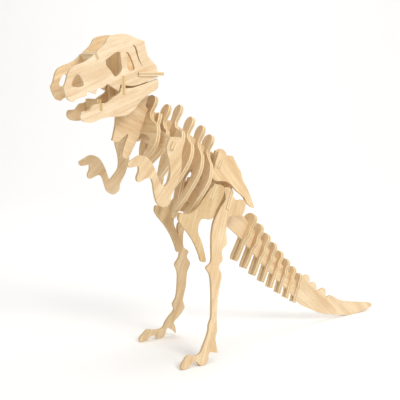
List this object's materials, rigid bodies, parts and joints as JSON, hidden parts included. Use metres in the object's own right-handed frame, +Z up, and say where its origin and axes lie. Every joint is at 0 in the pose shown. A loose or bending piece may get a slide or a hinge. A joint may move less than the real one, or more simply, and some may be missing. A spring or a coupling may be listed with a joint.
{
  "type": "wooden 3d jigsaw model",
  "caption": "Standing dinosaur skeleton built from interlocking flat plywood plates: twin skull and jaw sides, ribs and tail plates across a flat spine, two legs and two small arms.",
  "frame": {"origin": "on the ground, under the centre of the bounding box", "axes": "+Z up, head towards -X and tail towards +X, +Y to the animal's right, the spine's middle plane is Y = 0"},
  "size_m": [0.302, 0.0848, 0.2468],
  "materials": {
    "plywood": "bare, lightly sanded plywood with the layers showing on the cut edges"
  },
  "bodies": {
    "frame": {"spine": "plywood", "tail_spine": "plywood", "shoulder_plate": "plywood", "pelvis_plate": "plywood", "ilium_left": "plywood", "ilium_right": "plywood", "pubis_left": "plywood", "pubis_right": "plywood", "hip_plate": "plywood", "leg_left": "plywood", "leg_right": "plywood"},
    "head": {"skull_left": "plywood", "skull_right": "plywood", "forehead_plate": "plywood", "braincase_plate": "plywood", "nape_plate": "plywood", "jaw_left": "plywood", "jaw_right": "plywood", "jaw_brace": "plywood"},
    "rib_1": {"rib_1": "plywood"},
    "rib_2": {"rib_2": "plywood"},
    "rib_3": {"rib_3": "plywood"},
    "rib_4": {"rib_4": "plywood"},
    "rib_5": {"rib_5": "plywood"},
    "rib_6": {"rib_6": "plywood"},
    "tail_plate_1": {"tail_plate_1": "plywood"},
    "tail_plate_2": {"tail_plate_2": "plywood"},
    "tail_plate_3": {"tail_plate_3": "plywood"},
    "tail_plate_4": {"tail_plate_4": "plywood"},
    "tail_plate_5": {"tail_plate_5": "plywood"},
    "tail_plate_6": {"tail_plate_6": "plywood"},
    "tail_plate_7": {"tail_plate_7": "plywood"},
    "tail_plate_8": {"tail_plate_8": "plywood"},
    "arm_left": {"arm_left": "plywood"},
    "arm_right": {"arm_right": "plywood"}
  },
  "joints": [
    {"name": "head_lift", "type": "slide", "parent": "frame", "child": "head", "axis": [0, 0, 1], "range_m": [0, 0.022]},
    {"name": "rib_1_lift", "type": "slide", "parent": "frame", "child": "rib_1", "axis": [0.3746, 0, 0.9272], "range_m": [0, 0.022]},
    {"name": "rib_2_lift", "type": "slide", "parent": "frame", "child": "rib_2", "axis": [0.4226, 0, 0.9063], "range_m": [0, 0.022]},
    {"name": "rib_3_lift", "type": "slide", "parent": "frame", "child": "rib_3", "axis": [0.4226, 0, 0.9063], "range_m": [0, 0.022]},
    {"name": "rib_4_lift", "type": "slide", "parent": "frame", "child": "rib_4", "axis": [0.4226, 0, 0.9063], "range_m": [0, 0.022]},
    {"name": "rib_5_lift", "type": "slide", "parent": "frame", "child": "rib_5", "axis": [0.4226, 0, 0.9063], "range_m": [0, 0.022]},
    {"name": "rib_6_lift", "type": "slide", "parent": "frame", "child": "rib_6", "axis": [0.4226, 0, 0.9063], "range_m": [0, 0.022]},
    {"name": "tail_plate_1_lift", "type": "slide", "parent": "frame", "child": "tail_plate_1", "axis": [0.454, 0, 0.891], "range_m": [0, 0.028]},
    {"name": "tail_plate_2_lift", "type": "slide", "parent": "frame", "child": "tail_plate_2", "axis": [0.4258, 0, 0.9048], "range_m": [0, 0.0265]},
    {"name": "tail_plate_3_lift", "type": "slide", "parent": "frame", "child": "tail_plate_3", "axis": [0.3971, 0, 0.9178], "range_m": [0, 0.025]},
    {"name": "tail_plate_4_lift", "type": "slide", "parent": "frame", "child": "tail_plate_4", "axis": [0.3681, 0, 0.9298], "range_m": [0, 0.0234]},
    {"name": "tail_plate_5_lift", "type": "slide", "parent": "frame", "child": "tail_plate_5", "axis": [0.3387, 0, 0.9409], "range_m": [0, 0.0219]},
    {"name": "tail_plate_6_lift", "type": "slide", "parent": "frame", "child": "tail_plate_6", "axis": [0.309, 0, 0.9511], "range_m": [0, 0.0204]},
    {"name": "tail_plate_7_lift", "type": "slide", "parent": "frame", "child": "tail_plate_7", "axis": [0.279, 0, 0.9603], "range_m": [0, 0.0189]},
    {"name": "tail_plate_8_lift", "type": "slide", "parent": "frame", "child": "tail_plate_8", "axis": [0.2487, 0, 0.9686], "range_m": [0, 0.0174]},
    {"name": "arm_left_pull", "type": "slide", "parent": "frame", "child": "arm_left", "axis": [0, -1, 0], "range_m": [0, 0.005]},
    {"name": "arm_right_pull", "type": "slide", "parent": "frame", "child": "arm_right", "axis": [0, 1, 0], "range_m": [0, 0.005]}
  ]
}
